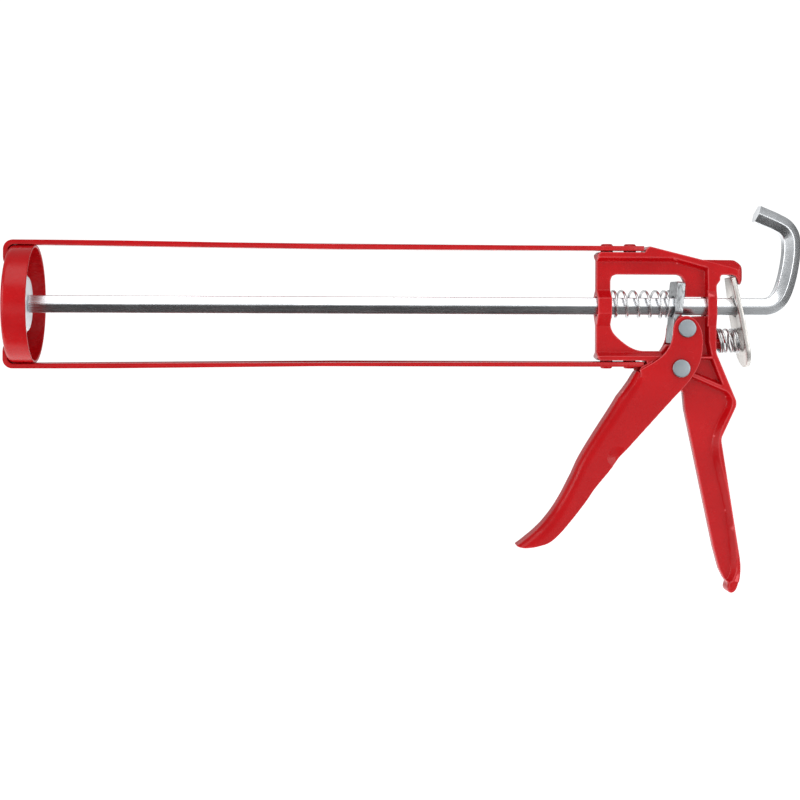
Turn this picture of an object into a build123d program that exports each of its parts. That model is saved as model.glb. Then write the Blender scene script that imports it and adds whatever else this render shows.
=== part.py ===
"""Skeleton caulking gun for a 310 ml cartridge.

Millimetres. The origin is on the rod's axis, where the cartridge's front
end rests. X runs back along the rod to the handle and Z is up. The gun is
mirrored about Y = 0.
"""
import os
from math import cos, pi, radians, sin

from build123d import *

os.makedirs("parts", exist_ok=True)

# Front ring, a shallow pressed cup.
ring_radius = 26.9
ring_sheet = 1.2
ring_depth = 10.0
nozzle_radius = 15.0
ring_corner = 2.6

# Straps that tie the ring to the body.
strap_thick = 2.2
strap_width = 11.0
strap_end = 289.1
strap_tab_gap = 0.5
strap_tab_low = 19.0
strap_at_ring = ring_radius
strap_at_middle = 25.75
strap_at_body = 25.85
strap_bend_out = 4.4
strap_bend_in = 2.6
strap_tab_corner = 3.0

# Strap rivets.
strap_rivet_places = {"front": 272.6, "rear": 283.5}
strap_rivet_head = 2.9
strap_rivet_head_high = 1.0
strap_rivet_shank = 1.6

# Body casting with the handle.
body_half = 5.3
web_half = 2.0
flange = 3.0
body_front = 267.5
window_front = 274.1
rear_wall_in = 319.2
rear_wall_out = 323.6
body_top = 25.2
body_bottom = -25.2
beak_back = 336.5
crest = 21.9
channel_half = 4.4
boss_half = 6.2
boss_flat_top = 3.8
boss_flat_bottom = -3.4
boss_foot_top = 7.6
boss_foot_bottom = -9.2
pivot_boss = 5.2
rod_bore = 4.7
spring_post_z = -16.0
spring_post_long = 4.8

# Trigger, a pressed channel that straddles the body.
cheek_in = 5.8
cheek_out = 7.0
trigger_bend = 4.4
lever_front = [
    (287.0, -29.4),
    (283.7, -33.9),
    (280.6, -39.4),
    (270.6, -54.7),
    (263.4, -65.5),
    (259.8, -71.7),
    (253.5, -84.3),
    (243.2, -100.9),
    (235.5, -107.7),
    (230.2, -111.0),
]
pivot_x, pivot_z = 306.3, -28.7
thrust_x, thrust_z = 309.1, -10.1
rivet_head = 4.2
rivet_head_high = 1.1
rivet_shank = 2.4
cheek_gap = 0.3

# Plunger rod, a hexagon bar with two flats level.
rod_flats = 8.0
rod_front = 6.6
rod_straight_end = 348.6
tenon_radius = 3.0
peen_radius = 4.6

# Plunger disc.
disc_sheet = 1.2
plateau_radius = 12.3
disc_radius = 18.5
disc_step = 2.4
disc_drop = 2.9

# Drive plate.
drive_thick = 3.8
drive_tilt = 5.0
drive_face = 303.5
drive_head_wide = 15.0
drive_tail_wide = 11.0
drive_top = 11.8
drive_shoulder = -3.2
drive_bottom = -17.2
drive_hole = 5.0

# Brake plate.
brake_thick = 2.0
brake_tilt = 10.4
brake_top_x, brake_top_z = 330.3, 13.5
brake_top_half = 6.0
brake_shoulder_half = 7.4
brake_shoulder_down = 8.0
brake_paddle = 9.3
brake_long = 42.7
brake_hole_down = 13.75
brake_hole = 5.0

# Springs.
main_wire = 0.6
main_radius = 6.2
main_turns = 6.4
main_start, main_end = window_front, 302.6
main_rise = 1.0
brake_wire = 0.5
brake_radius = 5.4
brake_turns = 6.0
brake_start, brake_end = rear_wall_out + 0.05, 334.4


def coil(start, end, turns, radius, wire, closed_pitch, centre_z):
    """A spring along X, closed at both ends, as one swept wire."""
    steps = int(turns * 12)
    long = end - start - 2 * wire
    open_pitch = (long - 2 * closed_pitch) / (turns - 2)
    points = []
    x = start + wire
    for i in range(steps + 1):
        t = turns * i / steps
        angle = 2 * pi * t
        points.append((x, -radius * sin(angle), centre_z + radius * cos(angle)))
        near_end = t < 0.999 or t > turns - 1.001
        x += (closed_pitch if near_end else open_pitch) * turns / steps
    with BuildPart() as spring:
        with BuildLine() as line:
            Spline(*points)
        with BuildSketch(Plane(origin=line.line @ 0, z_dir=line.line % 0)):
            Circle(wire)
        sweep(path=line.line)
    return spring


# The ring's wall and front plate are turned from one section.
with BuildPart() as front_ring:
    with BuildSketch(Plane.XZ):
        with BuildLine():
            Polyline(
                (-ring_sheet, nozzle_radius),
                (-ring_sheet, ring_radius),
                (ring_depth, ring_radius),
                (ring_depth, ring_radius - ring_sheet),
                (0, ring_radius - ring_sheet),
                (0, nozzle_radius),
                close=True,
            )
        make_face()
    revolve(axis=Axis.X)
    outer = front_ring.edges().filter_by(GeomType.CIRCLE).group_by(Axis.X)[0]
    fillet(outer.sort_by(SortBy.RADIUS)[-1], ring_corner)
    inner = front_ring.edges().filter_by_position(Axis.X, -0.01, 0.01)
    fillet(inner.sort_by(SortBy.RADIUS)[-1], ring_corner - ring_sheet)
    rim = front_ring.edges().group_by(Axis.X)[-1]
    fillet(rim, 0.4)
front_ring.part.label = "front_ring"
export_step(front_ring.part, "parts/front_ring.step")


# Each strap bends over the ring's front and bows in a little midway.
straps = {}
for name, side in (("upper", 1), ("lower", -1)):
    tab_back = -ring_sheet - strap_tab_gap
    tab_front = tab_back - strap_thick
    with BuildPart() as strap:
        with BuildSketch(Plane.XZ):
            with BuildLine():
                Line((tab_front, side * strap_tab_low), (tab_back, side * strap_tab_low))
                Line((tab_back, side * strap_tab_low), (tab_back, side * strap_at_ring))
                Line((tab_back, side * strap_at_ring), (20, side * strap_at_ring))
                Spline(
                    (20, side * strap_at_ring),
                    (140, side * strap_at_middle),
                    (262, side * strap_at_body),
                    tangents=[(1, 0), (1, 0)],
                )
                Line((262, side * strap_at_body), (strap_end, side * strap_at_body))
                Line(
                    (strap_end, side * strap_at_body),
                    (strap_end, side * (strap_at_body + strap_thick)),
                )
                Line(
                    (strap_end, side * (strap_at_body + strap_thick)),
                    (262, side * (strap_at_body + strap_thick)),
                )
                Spline(
                    (262, side * (strap_at_body + strap_thick)),
                    (140, side * (strap_at_middle + strap_thick)),
                    (20, side * (strap_at_ring + strap_thick)),
                    tangents=[(-1, 0), (-1, 0)],
                )
                Line(
                    (20, side * (strap_at_ring + strap_thick)),
                    (tab_front, side * (strap_at_ring + strap_thick)),
                )
                Line(
                    (tab_front, side * (strap_at_ring + strap_thick)),
                    (tab_front, side * strap_tab_low),
                )
            make_face()
        extrude(amount=strap_width / 2, both=True)
        far = -1 if side > 0 else 0
        outer_bend = strap.edges().filter_by(Axis.Y).group_by(Axis.X)[0]
        fillet(outer_bend.sort_by(Axis.Z)[far], strap_bend_out)
        inner_bend = strap.edges().filter_by(Axis.Y).filter_by_position(Axis.X, tab_back - 0.1, tab_back + 0.1)
        fillet(inner_bend.sort_by(Axis.Z)[far], strap_bend_in)
        tab = strap.edges().filter_by(Axis.X).filter_by_position(
            Axis.Z, side * strap_tab_low - 0.1, side * strap_tab_low + 0.1
        )
        fillet(tab, strap_tab_corner)
        for place in strap_rivet_places.values():
            with Locations((place, 0, side * strap_at_body)):
                Cylinder(strap_rivet_shank, 12, mode=Mode.SUBTRACT)
    strap.part.label = f"{name}_strap"
    export_step(strap.part, f"parts/{name}_strap.step")
    straps[name] = strap


# Strap rivets, with a collar between strap and body.
for name, side in (("upper", 1), ("lower", -1)):
    flange_face = body_top if side > 0 else -body_bottom
    for end, place in strap_rivet_places.items():
        with BuildPart() as strap_rivet:
            strap_face = strap_at_body + strap_thick
            with BuildSketch(Plane.XZ):
                with BuildLine():
                    Polyline(
                        (place, side * (flange_face - flange)),
                        (place + strap_rivet_shank, side * (flange_face - flange)),
                        (place + strap_rivet_shank, side * flange_face),
                        (place + strap_rivet_head, side * flange_face),
                        (place + strap_rivet_head, side * strap_at_body),
                        (place + strap_rivet_shank, side * strap_at_body),
                        (place + strap_rivet_shank, side * strap_face),
                        (place + strap_rivet_head, side * strap_face),
                        (place + strap_rivet_head, side * (strap_face + 0.6)),
                        (place + strap_rivet_head - 0.5, side * (strap_face + strap_rivet_head_high)),
                        (place, side * (strap_face + strap_rivet_head_high)),
                        close=True,
                    )
                make_face()
            revolve(axis=Axis((place, 0, 0), (0, 0, 1)))
        strap_rivet.part.label = f"{name}_{end}_strap_rivet"
        export_step(strap_rivet.part, f"parts/{name}_{end}_strap_rivet.step")


# The casting is one outline, thinned to a web inside its flanges.
with BuildPart() as body_casting:
    with BuildSketch(Plane.XZ):
        with BuildLine():
            Polyline(
                (body_front, body_bottom + 1.2),
                (body_front, body_top - 1.2),
                (body_front + 1.2, body_top),
                (289.7, body_top),
                (290.2, 26.6),
                (291.8, 28.0),
                (316.8, crest),
                (331.2, crest),
            )
            Spline(
                (331.2, crest),
                (335.0, 20.2),
                (beak_back, 16.4),
                tangents=[(1, 0), (0, -1)],
            )
            Polyline(
                (beak_back, 16.4),
                (beak_back, 12.8),
                (335.8, 10.9),
                (334.6, 10.0),
                (333.9, 10.6),
                (333.3, 12.4),
                (332.7, 14.0),
                (331.2, 14.9),
                (326.0, 14.9),
                (325.4, 14.2),
                (325.2, 12.2),
                (rear_wall_out, 10.0),
                (rear_wall_out, -20.0),
            )
            FilletPolyline(
                (rear_wall_out, -20.0),
                (rear_wall_out, -21.6),
                (333.7, -45.2),
                (326.0, -61.6),
                (335.1, -117.0),
                radius=5,
            )
            Spline(
                (335.1, -117.0),
                (335.5, -122.7),
                (334.8, -128.8),
                (333.2, -132.9),
                (331.2, -134.0),
                (329.5, -132.7),
                (329.5, -130.8),
                (330.3, -129.4),
                tangents=[(0.15, -1), (0.6, 0.8)],
            )
            Polyline(
                (330.3, -129.4),
                (328.2, -126.9),
                (326.4, -122.8),
                (308.6, -40.0),
                (300.0, -34.0),
                (291.0, -27.2),
                (290.4, body_bottom),
                (body_front + 1.2, body_bottom),
                (body_front, body_bottom + 1.2),
            )
        make_face()
    extrude(amount=body_half, both=True)

    # Pockets on both sides narrow from their mouths down to the web.
    for side in (1, -1):
        mouth = Plane.XZ.offset(-side * (body_half + 0.1))
        floor = Plane.XZ.offset(-side * web_half)

        # Around the window.
        with BuildSketch(mouth):
            Polygon(
                (body_front - 2, body_top - 2.5),
                (302.8, body_top - 2.5),
                (319.4, 18.2),
                (320.1, -16.5),
                (321.6, -23.4),
                (299.0, -23.4),
                (298.0, body_bottom + 2.0),
                (body_front - 2, body_bottom + 2.0),
                align=None,
            )
        with BuildSketch(floor):
            Polygon(
                (body_front - 2, body_top - 4.1),
                (303.3, body_top - 4.1),
                (318.4, 17.0),
                (rear_wall_in, -16.5),
                (320.4, -22.4),
                (299.0, -22.4),
                (298.0, body_bottom + 3.8),
                (body_front - 2, body_bottom + 3.8),
                align=None,
            )
        loft(ruled=True, mode=Mode.SUBTRACT)

        # A three-cornered one behind the pivot.
        with BuildSketch(mouth):
            Polygon((312.4, -24.0), (321.8, -24.0), (327.0, -37.2), (310.4, -30.2), align=None)
        with BuildSketch(floor):
            Polygon((313.4, -24.6), (321.4, -24.6), (325.8, -35.4), (311.4, -29.8), align=None)
        loft(ruled=True, mode=Mode.SUBTRACT)

        # Down the handle, open at the front.
        with BuildSketch(mouth):
            with BuildLine():
                Polyline((300.0, -34.6), (311.0, -32.0), (328.8, -39.6))
                Spline(
                    (328.8, -39.6),
                    (331.4, -44.8),
                    (328.6, -52.2),
                    (325.2, -62.0),
                    (328.3, -82.0),
                    (333.6, -116.0),
                    (333.4, -124.2),
                    (330.6, -129.4),
                )
                Polyline((330.6, -129.4), (324.0, -126.0), (300.0, -34.6))
            make_face()
        with BuildSketch(floor):
            with BuildLine():
                Polyline((300.0, -35.4), (311.0, -32.8), (326.9, -39.6))
                Spline(
                    (326.9, -39.6),
                    (329.2, -44.8),
                    (326.2, -51.8),
                    (322.4, -62.0),
                    (325.6, -82.0),
                    (331.4, -116.0),
                    (331.4, -123.0),
                    (329.6, -127.6),
                )
                Polyline((329.6, -127.6), (323.0, -126.0), (300.0, -35.4))
            make_face()
        loft(ruled=True, mode=Mode.SUBTRACT)

    # The hood falls away to both sides and its back narrows.
    for side in (1, -1):
        corner_front = Vector(312.0, side * body_half, 22.98)
        corner_back = Vector(333.9, side * body_half, 17.4)
        corner_top = Vector(335.0, side * 1.6, 21.7)
        slope = (corner_back - corner_front).cross(corner_top - corner_front) * -side
        roof = Plane(origin=corner_front, x_dir=corner_back - corner_front, z_dir=slope)
        with Locations(roof):
            Box(80, 40, 10, align=(Align.CENTER, Align.CENTER, Align.MIN), mode=Mode.SUBTRACT)
        back_low = Vector(beak_back + 0.1, side * 2.0, 0)
        back_side = Vector(334.4, side * body_half, 0)
        along = back_side - back_low
        cheek_plane = Plane(origin=back_low, x_dir=along, z_dir=along.cross(Vector(0, 0, 1)) * side)
        with Locations(cheek_plane):
            Box(20, 50, 6, align=(Align.CENTER, Align.CENTER, Align.MIN), mode=Mode.SUBTRACT)

    # Bosses carry the rod through the front bar and the rear wall.
    for start, end, top, foot in (
        (body_front, window_front, boss_half, web_half),
        (rear_wall_in, rear_wall_out, boss_half + 0.4, body_half),
    ):
        with BuildSketch(Plane.YZ.offset(start)):
            Polygon(
                (foot, boss_foot_top),
                (top, boss_flat_top),
                (top, boss_flat_bottom),
                (foot, boss_foot_bottom),
                (-foot, boss_foot_bottom),
                (-top, boss_flat_bottom),
                (-top, boss_flat_top),
                (-foot, boss_foot_top),
                align=None,
            )
        extrude(amount=end - start)

    # Pivot boss.
    with Locations((pivot_x, 0, pivot_z)):
        Cylinder(pivot_boss, 2 * (cheek_in - cheek_gap), rotation=(90, 0, 0))

    # Window for the spring, with the gap for the thrust rivet behind it.
    with BuildSketch(Plane.XZ):
        with BuildLine():
            Polyline(
                (window_front, -8.2),
                (window_front, 12.0),
                (274.8, 14.0),
                (276.8, 14.8),
                (305.8, 14.8),
                (307.8, 14.0),
                (309.0, 11.8),
                (309.4, 8.0),
                (309.4, channel_half),
                (rear_wall_in, channel_half),
                (rear_wall_in, -channel_half),
                (313.2, -channel_half - 0.2),
                (312.6, -6.4),
                (312.6, -14.4),
                (309.8, -17.8),
                (300.5, -17.8),
                (298.2, -20.9),
                (291.0, -20.9),
            )
            Spline(
                (291.0, -20.9),
                (283.5, -19.0),
                (277.2, -14.2),
                (window_front, -8.2),
                tangents=[(-1, 0), (-0.15, 1)],
            )
        make_face()
    extrude(amount=20, both=True, mode=Mode.SUBTRACT)

    # Cross-shaped post for the brake spring.
    with BuildSketch(Plane.YZ.offset(rear_wall_out - 0.5)):
        with Locations((0, spring_post_z)):
            Rectangle(7.6, 2.0)
            Rectangle(2.0, 7.6)
    extrude(amount=spring_post_long + 0.5)

    # Holes for the rod and the rivets.
    with Locations((300, 0, 0)):
        Cylinder(rod_bore, 120, rotation=(0, 90, 0), mode=Mode.SUBTRACT)
    with Locations((pivot_x, 0, pivot_z)):
        Cylinder(rivet_shank, 40, rotation=(90, 0, 0), mode=Mode.SUBTRACT)
    for place in strap_rivet_places.values():
        with Locations((place, 0, body_top - flange / 2), (place, 0, body_bottom + flange / 2)):
            Cylinder(strap_rivet_shank, flange, mode=Mode.SUBTRACT)
body_casting.part.label = "body_casting"
export_step(body_casting.part, "parts/body_casting.step")


# What the trigger's pressed sheet leaves open between its cheeks.
with BuildPart() as trigger_hollow:
    with BuildSketch(Plane.XZ):
        with BuildLine():
            inside = [(x + 1.05, z - 0.75) for x, z in lever_front[1:-1]]
            Spline((286.6, -32.2), *inside)
            Polyline(
                inside[-1],
                (238.6, -118.0),
                (335.0, -80.0),
                (335.0, 5.0),
                (285.0, 5.0),
                (281.0, -27.6),
                (286.6, -32.2),
            )
        make_face()
    extrude(amount=cheek_in, both=True)
    side_edges = trigger_hollow.edges().filter_by(lambda e: abs(e.center().Y) > cheek_in - 0.01)
    front_edges = side_edges.filter_by(lambda e: e.length > 80).sort_by(Axis.X)[:2]
    fillet(front_edges, trigger_bend - (cheek_out - cheek_in))


# The lever is filled, rounded along its front and hollowed, and the two
# cheeks are added above it.
with BuildPart() as trigger:
    with BuildSketch(Plane.XZ):
        with BuildLine():
            Spline(*lever_front)
            Line(lever_front[-1], (230.6, -111.5))
            Spline(
                (230.6, -111.5),
                (236.8, -111.9),
                (244.3, -109.0),
                (252.3, -101.5),
                (263.0, -87.8),
                (275.3, -72.6),
                tangents=[(1, -0.3), (0.66, 0.75)],
            )
            Line((275.3, -72.6), (302.1, -43.4))
            Line((302.1, -43.4), lever_front[0])
        make_face()
    extrude(amount=cheek_out, both=True)
    flat_edges = [e for e in trigger.edges() if abs(e.center().Y) > cheek_out - 0.01]
    fillet([e for e in flat_edges if e.length > 80], trigger_bend)
    with BuildSketch(Plane.XZ):
        with BuildLine():
            Polyline(lever_front[0], (288.6, -36.0), (297.6, -46.0), (302.1, -43.4))
            Spline(
                (302.1, -43.4),
                (311.5, -32.9),
                (315.4, -25.6),
                (316.7, -17.6),
                (315.0, -8.7),
                (309.4, -4.3),
                (304.0, -6.6),
                (302.3, -14.0),
                (297.6, -22.8),
                (291.9, -26.8),
                lever_front[0],
                tangents=[(0.68, 0.73), (-0.9, -0.44)],
            )
        make_face()
    extrude(amount=cheek_out, both=True)
    add(trigger_hollow.part, mode=Mode.SUBTRACT)
    with Locations((pivot_x, 0, pivot_z)):
        Cylinder(rivet_shank + 0.05, 40, rotation=(90, 0, 0), mode=Mode.SUBTRACT)
    with Locations((thrust_x, 0, thrust_z)):
        Cylinder(rivet_shank, 40, rotation=(90, 0, 0), mode=Mode.SUBTRACT)
trigger.part.label = "trigger"
export_step(trigger.part, "parts/trigger.step")


# The pivot rivet stands clear of the cheeks; the thrust rivet grips them.
for name, x, z, gap in (
    ("pivot_rivet", pivot_x, pivot_z, cheek_gap),
    ("thrust_rivet", thrust_x, thrust_z, 0.0),
):
    with BuildPart() as rivet:
        with Locations((x, 0, z)):
            Cylinder(rivet_shank, 2 * (cheek_out + gap), rotation=(90, 0, 0))
        for side in (1, -1):
            with Locations((x, side * (cheek_out + gap + rivet_head_high / 2), z)):
                Cylinder(rivet_head, rivet_head_high, rotation=(90, 0, 0))
        ends = [e for e in rivet.edges() if abs(abs(e.center().Y) - cheek_out - gap - rivet_head_high) < 0.01]
        chamfer(ends, 0.35)
    rivet.part.label = name
    export_step(rivet.part, f"parts/{name}.step")


# Rod, bent up into a hook at the back, with a peened front end.
with BuildPart() as plunger_rod:
    with BuildLine() as rod_path:
        Line((rod_front, 0, 0), (rod_straight_end, 0, 0))
        Spline(
            (rod_straight_end, 0, 0),
            (354.4, 0, 3.9),
            (357.0, 0, 8.6),
            (358.9, 0, 15.4),
            (360.5, 0, 27.6),
            (360.0, 0, 33.2),
            (357.1, 0, 37.4),
            (353.0, 0, 39.8),
            tangents=[(1, 0, 0), (-0.92, 0, 0.39)],
        )
        Line((353.0, 0, 39.8), (343.8, 0, 43.7))
    with BuildSketch(Plane.YZ.offset(rod_front)):
        RegularPolygon(rod_flats / 2, 6, major_radius=False)
    sweep(path=rod_path.line)
    with Locations((rod_front - disc_sheet / 2, 0, 0)):
        Cylinder(tenon_radius, disc_sheet, rotation=(0, 90, 0))
    with Locations((rod_front - disc_sheet - 0.7, 0, 0)):
        Cylinder(peen_radius, 1.4, rotation=(0, 90, 0))
    fillet(plunger_rod.edges().group_by(Axis.X)[0], 0.8)
plunger_rod.part.label = "plunger_rod"
export_step(plunger_rod.part, "parts/plunger_rod.step")


# Dished disc that pushes the cartridge's piston.
with BuildPart() as plunger_disc:
    with BuildSketch(Plane.XZ):
        with BuildLine():
            face = rod_front - disc_sheet
            Polyline(
                (rod_front, tenon_radius),
                (rod_front, plateau_radius),
                (rod_front - disc_step, plateau_radius + 1.1),
                (rod_front - disc_drop, disc_radius),
                (face - disc_drop, disc_radius),
                (face - disc_step, plateau_radius + 0.3),
                (face, plateau_radius - 0.8),
                (face, tenon_radius),
                close=True,
            )
        make_face()
    revolve(axis=Axis.X)
plunger_disc.part.label = "plunger_disc"
export_step(plunger_disc.part, "parts/plunger_disc.step")


# Drive plate, thick and leaning back at its top.
with BuildPart() as drive_plate:
    lean = Plane(
        origin=(drive_face, 0, 0),
        x_dir=(0, 1, 0),
        z_dir=(cos(radians(drive_tilt)), 0, -sin(radians(drive_tilt))),
    )
    with BuildSketch(lean):
        with Locations((0, (drive_top + drive_shoulder) / 2)):
            RectangleRounded(drive_head_wide, drive_top - drive_shoulder, 1.6)
        with Locations((0, (drive_shoulder + drive_bottom) / 2 + 1)):
            Rectangle(drive_tail_wide, drive_shoulder - drive_bottom + 2)
        Circle(drive_hole, mode=Mode.SUBTRACT)
    extrude(amount=drive_thick)
    fillet(drive_plate.faces().sort_by(Axis.X)[0].outer_wire().edges(), 0.4)
drive_plate.part.label = "drive_plate"
export_step(drive_plate.part, "parts/drive_plate.step")


# Brake plate, which widens downwards and hangs from the beak.
with BuildPart() as brake_plate:
    slant = Plane(
        origin=(brake_top_x, 0, brake_top_z),
        x_dir=(0, 1, 0),
        z_dir=(cos(radians(brake_tilt)), 0, sin(radians(brake_tilt))),
    )
    with BuildSketch(slant):
        with Locations((0, brake_paddle - brake_long)):
            Circle(brake_paddle)
        Polygon(
            (brake_top_half, 0),
            (brake_shoulder_half, -brake_shoulder_down),
            (brake_paddle, -brake_hole_down - brake_hole),
            (brake_paddle, brake_paddle - brake_long),
            (-brake_paddle, brake_paddle - brake_long),
            (-brake_paddle, -brake_hole_down - brake_hole),
            (-brake_shoulder_half, -brake_shoulder_down),
            (-brake_top_half, 0),
            align=None,
        )
        with Locations((0, -brake_hole_down)):
            Circle(brake_hole, mode=Mode.SUBTRACT)
    extrude(amount=brake_thick)
brake_plate.part.label = "brake_plate"
export_step(brake_plate.part, "parts/brake_plate.step")


main_spring = coil(main_start, main_end, main_turns, main_radius, main_wire, 1.9, main_rise)
main_spring.part.label = "main_spring"
export_step(main_spring.part, "parts/main_spring.step")

brake_spring = coil(brake_start, brake_end, brake_turns, brake_radius, brake_wire, 1.2, spring_post_z)
brake_spring.part.label = "brake_spring"
export_step(brake_spring.part, "parts/brake_spring.step")
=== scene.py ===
"""Looks for the skeleton caulking gun: camera, light, paint, zinc and fine meshes."""
from math import cos, pi, radians, sin

import bmesh
import bpy
from mathutils import Matrix, Vector


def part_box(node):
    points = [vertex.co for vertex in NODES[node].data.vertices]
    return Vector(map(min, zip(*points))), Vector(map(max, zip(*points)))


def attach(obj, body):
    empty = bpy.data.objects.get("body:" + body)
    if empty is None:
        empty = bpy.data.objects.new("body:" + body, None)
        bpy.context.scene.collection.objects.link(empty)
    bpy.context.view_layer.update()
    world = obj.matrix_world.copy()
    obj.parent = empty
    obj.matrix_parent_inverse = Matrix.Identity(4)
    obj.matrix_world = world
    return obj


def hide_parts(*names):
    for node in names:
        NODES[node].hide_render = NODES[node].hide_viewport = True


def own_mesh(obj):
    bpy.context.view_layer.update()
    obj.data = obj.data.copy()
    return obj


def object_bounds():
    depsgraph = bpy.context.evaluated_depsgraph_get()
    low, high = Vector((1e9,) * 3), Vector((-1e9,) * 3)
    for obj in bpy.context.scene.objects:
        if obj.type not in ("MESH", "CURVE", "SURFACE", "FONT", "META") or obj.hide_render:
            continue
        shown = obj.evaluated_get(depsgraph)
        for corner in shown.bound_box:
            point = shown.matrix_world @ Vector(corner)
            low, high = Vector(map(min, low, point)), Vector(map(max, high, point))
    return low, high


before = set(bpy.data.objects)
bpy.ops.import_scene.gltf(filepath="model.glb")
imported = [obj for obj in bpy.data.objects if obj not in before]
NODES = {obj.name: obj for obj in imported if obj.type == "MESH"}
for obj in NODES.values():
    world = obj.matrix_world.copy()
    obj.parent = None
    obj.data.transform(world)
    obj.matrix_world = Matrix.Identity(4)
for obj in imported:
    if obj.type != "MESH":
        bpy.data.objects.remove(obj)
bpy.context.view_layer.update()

MM = 0.001


# ---------------------------------------------------------------- materials


class Nodes:
    """A short way to make a node material."""

    def __init__(self, name):
        self.material = bpy.data.materials.new(name)
        self.material.use_nodes = True
        self.tree = self.material.node_tree
        self.shader = self.tree.nodes["Principled BSDF"]
        self.place = self.add("ShaderNodeTexCoord").outputs["Object"]

    def add(self, kind, **settings):
        node = self.tree.nodes.new(kind)
        for key, value in settings.items():
            setattr(node, key, value)
        return node

    def link(self, source, target):
        self.tree.links.new(source, target)

    def stretched(self, scale):
        mapping = self.add("ShaderNodeMapping")
        mapping.inputs["Scale"].default_value = scale
        self.link(self.place, mapping.inputs["Vector"])
        return mapping.outputs["Vector"]

    def noise(self, scale, detail=2.0, roughness=0.5, place=None):
        node = self.add("ShaderNodeTexNoise")
        node.inputs["Scale"].default_value = scale
        node.inputs["Detail"].default_value = detail
        node.inputs["Roughness"].default_value = roughness
        self.link(place or self.place, node.inputs["Vector"])
        return node.outputs["Fac"]

    def spread(self, value, low, high, to_low, to_high):
        node = self.add("ShaderNodeMapRange")
        for key, number in (
            ("From Min", low),
            ("From Max", high),
            ("To Min", to_low),
            ("To Max", to_high),
        ):
            node.inputs[key].default_value = number
        self.link(value, node.inputs["Value"])
        return node.outputs["Result"]

    def mix(self, factor, first, second):
        node = self.add("ShaderNodeMix", data_type="RGBA")
        self.link(factor, node.inputs["Factor"])
        for key, value in (("A", first), ("B", second)):
            socket = [s for s in node.inputs if s.name == key and s.type == "RGBA"][0]
            if isinstance(value, tuple):
                socket.default_value = (*value, 1.0)
            else:
                self.link(value, socket)
        return [s for s in node.outputs if s.type == "RGBA"][0]

    def bump(self, height, strength, distance, normal=None):
        node = self.add("ShaderNodeBump")
        node.inputs["Strength"].default_value = strength
        node.inputs["Distance"].default_value = distance
        self.link(height, node.inputs["Height"])
        if normal:
            self.link(normal, node.inputs["Normal"])
        return node.outputs["Normal"]


def powder_coat(name, thin):
    """Glossy red powder coat with a slight orange peel; the second argument sets the strength of a
    painted highlight, a paler pink on sharp edges.
    """
    edge_starts, edge_full = 0.508, 0.545
    m = Nodes(name)
    drift = m.spread(m.noise(60, 3), 0.35, 0.65, 0, 1)
    colour = m.mix(drift, (0.36, 0.001, 0.003), (0.41, 0.002, 0.004))
    # Painted highlight: sharp edges get a paler pink in their colour, standing in for light caught
    # on them.
    if thin:
        sharpness = m.add("ShaderNodeNewGeometry").outputs["Pointiness"]
        edges = m.spread(sharpness, edge_starts, edge_full, 0, thin)
        colour = m.mix(edges, colour, (0.78, 0.14, 0.15))
    m.link(colour, m.shader.inputs["Base Color"])
    m.link(m.spread(m.noise(220, 4), 0.3, 0.7, 0.20, 0.30), m.shader.inputs["Roughness"])
    m.shader.inputs["Specular IOR Level"].default_value = 0.26
    peel = m.bump(m.noise(900, 2, 0.45), strength=0.12, distance=0.12 * MM)
    waves = m.bump(m.noise(140, 2), strength=0.10, distance=0.6 * MM, normal=peel)
    m.link(waves, m.shader.inputs["Normal"])
    return m.material


def zinc(name, base, dark, rough, grain, scratch, pits=0.0, metal=1.0):
    """Zinc on steel, mottled from `base` to `dark`, with streaks, fine scratches and dark pits.

    `grain` is how fine the streaks are along X, Y and Z."""
    m = Nodes(name)
    cloud = m.spread(m.noise(90, 4, 0.6), 0.3, 0.7, 0, 1)
    streaks = m.noise(1.0, 5, 0.65, place=m.stretched(grain))
    colour = m.mix(cloud, base, dark)
    colour = m.mix(m.spread(streaks, 0.45, 0.75, 0, 0.4), colour, dark)
    if pits:
        specks = m.noise(1.0, 4, 0.7, place=m.stretched((1300, 1300, 500)))
        pitted = m.spread(specks, 0.52, 0.60, 0, pits)
        colour = m.mix(pitted, colour, (0.16, 0.16, 0.17))
    m.link(colour, m.shader.inputs["Base Color"])
    m.shader.inputs["Metallic"].default_value = metal
    m.link(m.spread(streaks, 0.3, 0.7, rough[0], rough[1]), m.shader.inputs["Roughness"])
    fine = m.bump(streaks, strength=scratch, distance=0.1 * MM)
    dents = m.bump(m.noise(260, 3), strength=0.15, distance=0.2 * MM, normal=fine)
    m.link(dents, m.shader.inputs["Normal"])
    return m.material


def plain_floor_material():
    """A white floor that lights itself a little, so that it stays as pale as the background."""
    m = Nodes("studio_floor")
    white = m.mix(m.noise(3), (0.93, 0.93, 0.93), (0.95, 0.95, 0.95))
    m.link(white, m.shader.inputs["Base Color"])
    m.shader.inputs["Roughness"].default_value = 0.9
    m.shader.inputs["Emission Color"].default_value = (1, 1, 1, 1)
    m.shader.inputs["Emission Strength"].default_value = 0.7
    return m.material


# The cast parts get the painted edge highlight; the sheet parts get none.
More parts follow.
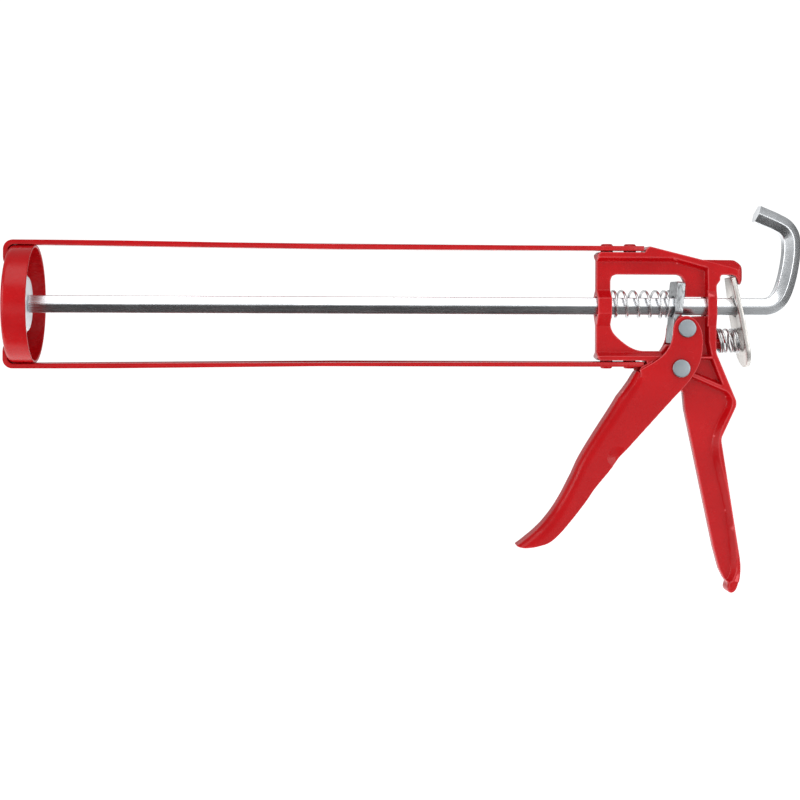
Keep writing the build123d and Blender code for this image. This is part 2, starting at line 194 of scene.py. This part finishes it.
CAST_RED = powder_coat("red_powder_coat", 0.5)
SHEET_RED = powder_coat("red_sheet_coat", 0)
ROD = zinc(
    "drawn_zinc_rod",
    base=(0.80, 0.82, 0.84),
    dark=(0.62, 0.64, 0.66),
    rough=(0.20, 0.34),
    grain=(30, 2500, 2500),
    scratch=0.25,
)
PLATE = zinc(
    "rolled_zinc_plate",
    base=(0.74, 0.71, 0.68),
    dark=(0.56, 0.54, 0.51),
    rough=(0.30, 0.46),
    grain=(300, 300, 60),
    scratch=0.5,
    pits=0.12,
)
SHEARED = zinc(
    "sheared_zinc_block",
    base=(0.54, 0.56, 0.57),
    dark=(0.40, 0.42, 0.43),
    rough=(0.28, 0.46),
    grain=(900, 900, 900),
    scratch=0.6,
    pits=0.7,
)
DISC = zinc(
    "turned_zinc_disc",
    base=(0.84, 0.89, 0.93),
    dark=(0.74, 0.79, 0.83),
    rough=(0.30, 0.42),
    grain=(400, 400, 400),
    scratch=0.3,
    metal=0.4,
)
RIVET = zinc(
    "zinc_rivet",
    base=(0.38, 0.42, 0.45),
    dark=(0.30, 0.335, 0.36),
    rough=(0.34, 0.46),
    grain=(700, 700, 700),
    scratch=0.35,
)
WIRE = zinc(
    "spring_wire",
    base=(0.72, 0.73, 0.74),
    dark=(0.48, 0.48, 0.48),
    rough=(0.22, 0.34),
    grain=(700, 700, 700),
    scratch=0.15,
)


# ------------------------------------------------------------------- meshes


def new_piece(name, bm, body, material, node, smooth_angle=40):
    """Turn a bmesh into a piece that rides on a body and stands for a CAD node."""
    bmesh.ops.recalc_face_normals(bm, faces=bm.faces)
    mesh = bpy.data.meshes.new(name)
    bm.to_mesh(mesh)
    bm.free()
    piece = bpy.data.objects.new(name, mesh)
    bpy.context.scene.collection.objects.link(piece)
    finish_piece(piece, body, material, node, smooth_angle)
    return piece


def finish_piece(piece, body, material, node, smooth_angle):
    piece.data.materials.clear()
    piece.data.materials.append(material)
    piece.data.set_sharp_from_angle(angle=radians(smooth_angle))
    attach(piece, body)
    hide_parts(node)


def apply_modifiers(piece):
    bpy.context.view_layer.update()
    graph = bpy.context.evaluated_depsgraph_get()
    mesh = bpy.data.meshes.new_from_object(piece.evaluated_get(graph))
    piece.modifiers.clear()
    piece.data = mesh


def copy_of(node, name):
    piece = bpy.data.objects.new(name, NODES[node].data.copy())
    bpy.context.scene.collection.objects.link(piece)
    return piece


def cast(node, name, body, material, voxel, passes, keep, reshape):
    """A copy of a CAD node with its edges and corners rounded, as cast or pressed metal has.

    `reshape` works on the fine mesh before it's thinned."""
    piece = copy_of(node, name)
    remesh = piece.modifiers.new("remesh", "REMESH")
    remesh.mode = "VOXEL"
    remesh.voxel_size = voxel * 1
    soften = piece.modifiers.new("soften", "SMOOTH")
    soften.factor = 0.5
    soften.iterations = passes
    apply_modifiers(piece)
    bm = bmesh.new()
    bm.from_mesh(piece.data)
    reshape(bm)
    bm.to_mesh(piece.data)
    bm.free()
    thin = piece.modifiers.new("thin", "DECIMATE")
    thin.ratio = keep
    apply_modifiers(piece)
    finish_piece(piece, body, material, node, 180)


def between(knots, at):
    """The value at `at` on a line of (place, value) knots, flat beyond both ends."""
    for (first, low), (second, high) in zip(knots, knots[1:]):
        if first <= at <= second:
            return low + (high - low) * (at - first) / (second - first)
    return knots[0][1] if at < knots[0][0] else knots[-1][1]


def along_edge(point, top, down):
    """How far a point lies below the top of a long edge and outside of it, in mm."""
    place = Vector((point.x, point.z)) / MM - Vector(top)
    outward = Vector((down[1], -down[0]))
    return place.dot(Vector(down)), place.dot(outward)


def fill_out(bm, top, down, fullness, depth):
    """Move a long edge outwards, by an amount in mm that `fullness` gives along it.

    The move fades away over `depth` mm behind the edge."""
    fade = ((-depth, 0), (-1, 1))
    for vert in bm.verts:
        below, out = along_edge(vert.co, top, down)
        push = between(fullness, below) * between(fade, out) * MM
        vert.co.x += down[1] * push
        vert.co.z -= down[0] * push


def relax(bm, inside, passes):
    """Round off the part of a mesh whose vertices pass the test `inside`."""
    chosen = [v for v in bm.verts if inside(v.co)]
    for _ in range(passes):
        bmesh.ops.smooth_vert(
            bm, verts=chosen, factor=0.5, use_axis_x=True, use_axis_y=True, use_axis_z=True
        )


def bevelled(node, name, body, material, width, segments):
    """A copy of a CAD node with small rounded edges."""
    flat = radians(1.5)
    edge = radians(38)
    bm = bmesh.new()
    bm.from_mesh(NODES[node].data)
    bmesh.ops.remove_doubles(bm, verts=bm.verts, dist=1e-6)
    bmesh.ops.dissolve_limit(bm, angle_limit=flat, verts=bm.verts, edges=bm.edges)
    sharp = [e for e in bm.edges if len(e.link_faces) == 2 and e.calc_face_angle() > edge]
    bmesh.ops.bevel(
        bm,
        geom=sharp,
        offset=width,
        offset_type="OFFSET",
        segments=segments,
        profile=0.5,
        affect="EDGES",
        clamp_overlap=True,
    )
    new_piece(name, bm, body, material, node)


def lathe(profile, centre, axis, turns):
    """A closed section, as (along, radius) points, turned about an axis through centre."""
    bm = bmesh.new()
    along = Vector(axis).normalized()
    across = along.orthogonal().normalized()
    third = along.cross(across)
    rings = []
    for i in range(turns):
        angle = 2 * pi * i / turns
        out = across * cos(angle) + third * sin(angle)
        rings.append([bm.verts.new(Vector(centre) + along * a + out * r) for a, r in profile])
    count = len(profile)
    for i in range(turns):
        here, there = rings[i], rings[(i + 1) % turns]
        for k in range(count):
            bm.faces.new((here[k], here[(k + 1) % count], there[(k + 1) % count], there[k]))
    bmesh.ops.remove_doubles(bm, verts=bm.verts, dist=1e-7)
    empty = [f for f in bm.faces if f.calc_area() < 1e-14]
    bmesh.ops.delete(bm, geom=empty, context="FACES_ONLY")
    return bm


def rounded(points, radii, steps=5):
    """A closed outline with its corners rounded by short curves."""
    out = []
    count = len(points)
    for i in range(count):
        here = Vector(points[i])
        before = Vector(points[i - 1]) - here
        after = Vector(points[(i + 1) % count]) - here
        reach = min(radii[i], before.length * 0.49, after.length * 0.49)
        if reach < 1e-9:
            out.append(tuple(here))
            continue
        start = here + before.normalized() * reach
        end = here + after.normalized() * reach
        for k in range(steps + 1):
            t = k / steps
            out.append(tuple(start * (1 - t) ** 2 + here * 2 * t * (1 - t) + end * t * t))
    return out


def sweep_flat(path, section):
    """Sweep a section, as (across, side) points, along a path in the plane Y = 0.

    `across` lies in that plane, square to the path, and `side` is along Y."""
    bm = bmesh.new()
    rings = []
    for i, point in enumerate(path):
        back = path[max(i - 1, 0)]
        ahead = path[min(i + 1, len(path) - 1)]
        direction = (Vector(ahead) - Vector(back)).normalized()
        across = Vector((-direction.y, direction.x))
        ring = []
        for a, side in section:
            ring.append(bm.verts.new((point[0] + across.x * a, side, point[1] + across.y * a)))
        rings.append(ring)
    count = len(section)
    for here, there in zip(rings, rings[1:]):
        for k in range(count):
            bm.faces.new((here[k], here[(k + 1) % count], there[(k + 1) % count], there[k]))
    bm.faces.new(rings[0])
    bm.faces.new(list(reversed(rings[-1])))
    return bm


def smooth_line(points, steps):
    """A Catmull-Rom line through points, with `steps` pieces a span."""
    full = [points[0]] + list(points) + [points[-1]]
    out = []
    for i in range(1, len(full) - 2):
        p = [Vector(q) for q in full[i - 1 : i + 3]]
        for k in range(steps):
            t = k / steps
            out.append(
                0.5
                * (
                    2 * p[1]
                    + (p[2] - p[0]) * t
                    + (2 * p[0] - 5 * p[1] + 4 * p[2] - p[3]) * t * t
                    + (3 * p[1] - p[0] - 3 * p[2] + p[3]) * t * t * t
                )
            )
    out.append(Vector(points[-1]))
    return out


def tube(points, radius, sides=14):
    """A round wire along a line of points, with flat ends."""
    bm = bmesh.new()
    rings = []
    normal = None
    for i, point in enumerate(points):
        direction = (points[min(i + 1, len(points) - 1)] - points[max(i - 1, 0)]).normalized()
        if normal is None:
            normal = direction.orthogonal().normalized()
        normal = (normal - direction * normal.dot(direction)).normalized()
        other = direction.cross(normal)
        ring = []
        for k in range(sides):
            angle = 2 * pi * k / sides
            ring.append(bm.verts.new(point + (normal * cos(angle) + other * sin(angle)) * radius))
        rings.append(ring)
    for here, there in zip(rings, rings[1:]):
        for k in range(sides):
            bm.faces.new((here[k], here[(k + 1) % sides], there[(k + 1) % sides], there[k]))
    bm.faces.new(rings[0])
    bm.faces.new(list(reversed(rings[-1])))
    return bm


# ------------------------------------------------------------------- pieces


def shape_body(bm):
    """Round the handle's curled end and the hood's back, and fill out the handle's front."""
    low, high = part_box("body_casting")
    curl_top = low.z + 5.5 * MM
    hood_back = high.x - 3.5 * MM
    hood_low = 9 * MM
    relax(bm, lambda p: p.z < curl_top, 60)
    relax(bm, lambda p: p.x > hood_back and p.z > hood_low, 18)
    fullness = ((-4, 0), (4, 0.9), (70, 0.8), (84, 0))
    fill_out(bm, top=(309.8, -44.0), down=(0.204, -0.979), fullness=fullness, depth=8)


def make_body():
    cast(
        "body_casting",
        "cast_body",
        "frame",
        CAST_RED,
        voxel=0.30 * MM,
        passes=5,
        keep=0.3,
        reshape=shape_body,
    )


# The front edge of the lever: its top, as (x, z) in mm, and the way down along it.
LEVER_TOP = (283.7, -33.9)
LEVER_DOWN = (-0.534, -0.845)


def press_lever(bm):
    """Soften the lever's bends, fill out both of its edges, raise its lip and dent its cheeks."""
    bend_depth = 5.5
    bend_top = -30 * MM

    def in_bend(point):
        return along_edge(point, LEVER_TOP, LEVER_DOWN)[1] > -bend_depth and point.z < bend_top

    relax(bm, in_bend, 10)
    front_fullness = (
        (2, 0),
        (10, 1.15),
        (33, 0.5),
        (46, 0.4),
        (52, 0.1),
        (62, 0.35),
        (75, 1.05),
        (88, 0.8),
        (96, 0),
    )
    rear_fullness = ((-8, 0), (0, 0.7), (42, 0.7), (54, 0))
    fill_out(bm, LEVER_TOP, LEVER_DOWN, front_fullness, depth=7)
    fill_out(bm, (244.3, -109.0), (0.648, 0.761), rear_fullness, depth=7)
    raise_lip(bm)
    dent_cheeks(bm)


def raise_lip(bm):
    """Raise the upper edge of the web between the cheeks."""
    web_half = 6.1 * MM
    web_depth = 3.5
    lift_by_place = ((-1, 1.8), (5, 0))
    for vert in bm.verts:
        below, out = along_edge(vert.co, LEVER_TOP, LEVER_DOWN)
        if abs(vert.co.y) < web_half and out > -web_depth:
            lift = between(lift_by_place, below) * MM
            vert.co.x -= LEVER_DOWN[0] * lift
            vert.co.z -= LEVER_DOWN[1] * lift


def dent_cheeks(bm):
    """A dent that pinches the rear edge of each cheek, partway down the lever."""
    centre = Vector((276.8, -69.9)) * MM
    reach = 5.5 * MM
    depth = 1.5 * MM
    cheek_inside = 5.5 * MM
    for vert in bm.verts:
        away = (Vector((vert.co.x, vert.co.z)) - centre).length / reach
        if away < 1 and abs(vert.co.y) > cheek_inside:
            side = 1 if vert.co.y > 0 else -1
            vert.co.y -= side * depth * (1 - away**2) ** 2


def make_trigger():
    cast(
        "trigger",
        "pressed_trigger",
        "lever",
        CAST_RED,
        voxel=0.28 * MM,
        passes=5,
        keep=0.3,
        reshape=press_lever,
    )


def make_ring():
    """The cup, as one section turned about the rod's axis."""
    low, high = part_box("front_ring")
    outside = high.z
    sheet = 1.2 * MM
    nozzle = 15 * MM
    section = [
        (low.x, nozzle),
        (low.x, outside),
        (high.x, outside),
        (high.x, outside - sheet),
        (low.x + sheet, outside - sheet),
        (low.x + sheet, nozzle),
    ]
    radii = [0.3 * MM, 2.6 * MM, 0.5 * MM, 0.5 * MM, 1.5 * MM, 0.3 * MM]
    ring = lathe(rounded(section, radii), (0, 0, 0), (1, 0, 0), 160)
    new_piece("pressed_ring", ring, "frame", SHEET_RED, "front_ring", 50)


def make_straps():
    edge = 0.25 * MM
    for name in ("upper", "lower"):
        bevelled(f"{name}_strap", f"{name}_flat_bar", "frame", SHEET_RED, edge, 2)


def make_strap_rivets():
    """Each rivet has a shank, a collar between body and strap, and a rounded head."""
    shank = 1.6 * MM
    head_high = 1.0 * MM
    head_round = 0.4 * MM
    collar_low, collar_high = 3.0 * MM, 3.65 * MM
    radii = [0, 0, 0, 0.1 * MM, 0.1 * MM, 0, 0, 0.2 * MM, 0.5 * MM, 0]
    for name in ("upper", "lower"):
        for end in ("front", "rear"):
            node = f"{name}_{end}_strap_rivet"
            low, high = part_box(node)
            middle = (low + high) / 2
            side = 1 if name == "upper" else -1
            inner, outer = (low.z, high.z) if side > 0 else (-high.z, -low.z)
            face = outer - head_high
            head = high.x - middle.x
            section = [
                (inner, 0),
                (inner, shank),
                (inner + collar_low, shank),
                (inner + collar_low, head),
                (inner + collar_high, head),
                (inner + collar_high, shank),
                (face, shank),
                (face, head),
                (outer, head - head_round),
                (outer, 0),
            ]
            rivet = lathe(rounded(section, radii, 3), (middle.x, 0, 0), (0, 0, side), 48)
            new_piece(f"{name}_{end}_strap_head", rivet, "frame", SHEET_RED, node)


def make_big_rivets():
    """The trigger's two rivets, each with a head on both sides."""
    shank = 2.4 * MM
    head_high = 1.1 * MM
    radii = [0, 0.55 * MM, 0.15 * MM, 0, 0, 0.15 * MM, 0.55 * MM, 0]
    for node, body in (("pivot_rivet", "frame"), ("thrust_rivet", "lever")):
        low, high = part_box(node)
        middle = (low + high) / 2
        half = high.y
        head = high.x - middle.x
        under = half - head_high
        section = [
            (-half, 0),
            (-half, head),
            (-under, head),
            (-under, shank),
            (under, shank),
            (under, head),
            (half, head),
            (half, 0),
        ]
        rivet = lathe(rounded(section, radii, 4), (middle.x, 0, middle.z), (0, 1, 0), 64)
        new_piece(f"{node}_turned", rivet, body, RIVET, node)


def rod_path():
    """The rod's centre line: straight from its front end, then bent up and forward into the hook."""
    straight_start, straight_long, steps = 8.6, 340.0, 40
    hook = [
        (348.6, 0.0),
        (352.0, 1.35),
        (354.9, 4.3),
        (357.1, 8.9),
        (358.9, 15.4),
        (360.2, 23.0),
        (360.5, 28.6),
        (359.9, 33.4),
        (357.3, 37.3),
        (353.0, 39.8),
        (348.0, 41.95),
        (343.8, 43.67),
    ]
    straight = [(6.6, 0.0), (7.3, 0.0)]
    straight += [(straight_start + straight_long * i / steps, 0.0) for i in range(steps)]
    points = [Vector(p) for p in straight] + smooth_line(hook, 8)
    return [p * MM for p in points]


def make_rod():
    """The hexagon rod with a chamfered front end, and the peened end that holds the disc."""
    chamfer = 0.86
    corner = 4 * MM / cos(pi / 6)
    hexagon = [(corner * sin(pi / 3 * k), corner * cos(pi / 3 * k)) for k in range(6)]
    section = rounded(hexagon, [0.45 * MM] * 6, 3)
    rod = sweep_flat(rod_path(), section)
    rod.verts.ensure_lookup_table()
    for vert in rod.verts[: len(section)]:
        vert.co.y *= chamfer
        vert.co.z *= chamfer
    peened = [(4.0, 0), (4.0, 4.4), (5.4, 4.6), (5.4, 3.0), (6.9, 3.0), (6.9, 0)]
    peened_radii = [0, 0.9, 0.1, 0, 0, 0]
    end = lathe(rounded(peened, peened_radii, 4), (0, 0, 0), (1, 0, 0), 48)
    bmesh.ops.scale(end, vec=(MM, MM, MM), verts=end.verts)
    scratch = bpy.data.meshes.new("peened_end")
    end.to_mesh(scratch)
    end.free()
    rod.from_mesh(scratch)
    new_piece("hexagon_rod", rod, "rod", ROD, "plunger_rod", 25)


def make_disc():
    """The dished disc: a raised middle, a steep step and a flat rim."""
    low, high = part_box("plunger_disc")
    back = high.x
    face = back - 1.2 * MM
    hole = 3.0 * MM
    step = 2.4 * MM
    section = [
        (back, hole),
        (back, 12.3 * MM),
        (back - step, 13.4 * MM),
        (back - 2.9 * MM, high.z),
        (low.x, high.z),
        (face - step, 12.6 * MM),
        (face, 11.5 * MM),
        (face, hole),
    ]
    radii = [0.1 * MM, 0.9 * MM, 0.6 * MM, 0.4 * MM, 0.4 * MM, 0.6 * MM, 0.5 * MM, 0]
    disc = lathe(rounded(section, radii, 5), (0, 0, 0), (1, 0, 0), 128)
    new_piece("dished_disc", disc, "rod", DISC, "plunger_disc", 50)


def coil_line(places, turns, radius, centre_z, phase, lean):
    """A spring's centre line along X, with the X of each full turn given by `places`.

    Every turn leans by `lean`, to lie along a slanted plate."""
    steps = 36
    out = []
    for i in range(int(turns * steps) + 1):
        turn, part = divmod(i, steps)
        ahead = places[min(turn + 1, len(places) - 1)]
        x = places[turn] + (ahead - places[turn]) * part / steps
        angle = 2 * pi * i / steps + phase
        z = radius * cos(angle)
        out.append(Vector((x - lean * z, -radius * sin(angle), centre_z + z)))
    return out


def eased(line, passes):
    """Round off the changes of pitch along a wire, keeping its two ends."""
    for _ in range(passes):
        old = [p.x for p in line]
        for i in range(1, len(line) - 1):
            line[i].x = (old[i - 1] + 2 * old[i] + old[i + 1]) / 4
    return line


# Room left between a coil and its neighbours, and inside its CAD box.
COIL_GAP = 0.03 * MM
COIL_SKIN = 0.02 * MM


def spread_turns(start, end, shares):
    """Where each full turn of a spring starts, from its share of the way along."""
    return [start + (end - start) * share for share in shares]


def make_main_spring():
    """The spring on the rod: six and a half turns, wound closer at both ends."""
    low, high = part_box("main_spring")
    wire = 0.6 * MM
    radius = (high.z - low.z) / 2 - wire - COIL_SKIN
    shares = (0, 0.077, 0.277, 0.475, 0.672, 0.851, 0.975, 1.025)
    places = spread_turns(low.x + wire + COIL_GAP, high.x - wire - COIL_GAP, shares)
    line = coil_line(places, 6.5, radius, (low.z + high.z) / 2, pi, lean=0)
    coil = tube(eased(line, 30), wire)
    main = new_piece("main_coil", coil, "frame", WIRE, "main_spring", 60)
    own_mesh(main)


def make_brake_spring():
    """The spring on the post: two close turns at each end and two open turns between them."""
    low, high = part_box("brake_spring")
    wire = 0.5 * MM
    radius = high.y - wire - COIL_SKIN
    centre = (low.z + high.z) / 2
    lean = 0.184
    past_plate_face = 0.4 * MM
    shares = (0, 0.106, 0.212, 0.5, 0.79, 0.895, 1)
    start = low.x + wire + COIL_GAP + lean * radius
    places = spread_turns(start, high.x + past_plate_face, shares)
    line = coil_line(places, 6, radius, centre, 0, lean)
    coil = tube(eased(line, 12), wire)
    brake = new_piece("brake_coil", coil, "frame", WIRE, "brake_spring", 60)
    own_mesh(brake)


def make_plates():
    bevelled("drive_plate", "drive_block", "driver", SHEARED, 0.45 * MM, 3)
    bevelled("brake_plate", "brake_paddle", "brake", PLATE, 0.25 * MM, 2)


make_body()
make_trigger()
make_ring()
make_straps()
make_strap_rivets()
make_big_rivets()
make_rod()
make_disc()
make_main_spring()
make_brake_spring()
make_plates()


# ------------------------------------------------------- floor, light, camera


def make_floor():
    """A wide pale floor, so far below the gun that its shadow stays out of view."""
    low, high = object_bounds()
    mesh = bpy.data.meshes.new("studio_floor")
    half = 90.0
    z = low.z - 0.30
    corners = [(-half, -half, z), (half, -half, z), (half, half, z), (-half, half, z)]
    mesh.from_pydata(corners, [], [(0, 1, 2, 3)])
    floor = bpy.data.objects.new("studio_floor", mesh)
    bpy.context.scene.collection.objects.link(floor)
    floor.data.materials.append(plain_floor_material())


def area_light(name, place, target, size, power):
    light = bpy.data.lights.new(name, "AREA")
    light.shape = "RECTANGLE"
    light.size, light.size_y = size
    light.energy = power
    lamp = bpy.data.objects.new(name, light)
    lamp.location = place
    lamp.rotation_euler = (Vector(target) - Vector(place)).to_track_quat("-Z", "Y").to_euler()
    bpy.context.scene.collection.objects.link(lamp)


def make_world():
    """White behind the gun, and a softer grey for what lights and mirrors in it."""
    world = bpy.data.worlds.new("studio")
    world.use_nodes = True
    tree = world.node_tree
    soft = tree.nodes["Background"]
    soft.inputs["Color"].default_value = (0.98, 0.99, 1.0, 1)
    soft.inputs["Strength"].default_value = 0.42
    white = tree.nodes.new("ShaderNodeBackground")
    white.inputs["Color"].default_value = (1, 1, 1, 1)
    white.inputs["Strength"].default_value = 1.1
    path = tree.nodes.new("ShaderNodeLightPath")
    either = tree.nodes.new("ShaderNodeMixShader")
    tree.links.new(path.outputs["Is Camera Ray"], either.inputs["Fac"])
    tree.links.new(soft.outputs["Background"], either.inputs[1])
    tree.links.new(white.outputs["Background"], either.inputs[2])
    tree.links.new(either.outputs["Shader"], tree.nodes["World Output"].inputs["Surface"])
    bpy.context.scene.world = world
    bpy.context.scene.view_settings.view_transform = "Standard"


def dark_card(name, low, high, shade):
    """A card that only reflections show, as a studio flag; it's flat along Z or along X."""
    mesh = bpy.data.meshes.new(name)
    x, y, z = zip(low, high)
    if low[2] == high[2]:
        corners = [(x[0], y[0], z[0]), (x[1], y[0], z[0]), (x[1], y[1], z[0]), (x[0], y[1], z[0])]
    else:
        corners = [(x[0], y[0], z[0]), (x[0], y[1], z[0]), (x[0], y[1], z[1]), (x[0], y[0], z[1])]
    mesh.from_pydata(corners, [], [(0, 1, 2, 3)])
    card = bpy.data.objects.new(name, mesh)
    bpy.context.scene.collection.objects.link(card)
    m = Nodes(name)
    m.shader.inputs["Base Color"].default_value = (shade, shade, shade, 1)
    m.shader.inputs["Roughness"].default_value = 0.9
    mesh.materials.append(m.material)
    card.visible_camera = False
    card.visible_shadow = False
    card.visible_diffuse = False


def make_light():
    middle = (0.18, 0, -0.02)
    area_light("key", (0.05, -0.75, 1.15), middle, (1.8, 1.0), 11)
    area_light("left_fill", (-1.25, -0.55, 0.25), middle, (0.8, 0.9), 7)
    area_light("right_fill", (1.35, -1.05, 0.25), middle, (0.9, 0.9), 7)
    area_light("back", (0.2, 1.2, 0.7), middle, (1.6, 0.8), 3)
    near, far, under = -1.05, -0.05, -0.36
    for name, left, right, shade in (
        ("low_flag", -1.0, 0.34, 0.04),
        ("middle_flag", 0.34, 0.44, 0.18),
        ("grey_flag", 0.44, 1.15, 0.5),
    ):
        dark_card(name, (left, near, under), (right, far, under), shade)
    dark_card("right_flag", (0.85, -0.32, -0.30), (0.85, 0.5, 0.35), 0.12)
    make_world()


def make_camera():
    """Level at the rod's height and shifted down, so the whole gun is in view."""
    yaw = radians(4.0)
    distance = 0.680
    aim = Vector((0.1759, 0, 0.003))
    drop = 0.04676
    forward = Vector((sin(yaw), cos(yaw), 0))
    data = bpy.data.cameras.new("camera")
    data.lens = 66.15
    data.sensor_width = 36
    data.shift_y = -drop / distance * data.lens / data.sensor_width
    camera = bpy.data.objects.new("camera", data)
    camera.location = aim - forward * distance
    roll = Matrix.Rotation(radians(0.25), 4, "Z")
    camera.rotation_euler = (forward.to_track_quat("-Z", "Y").to_matrix().to_4x4() @ roll).to_euler()
    bpy.context.scene.collection.objects.link(camera)
    bpy.context.scene.camera = camera


make_floor()
make_light()
make_camera()
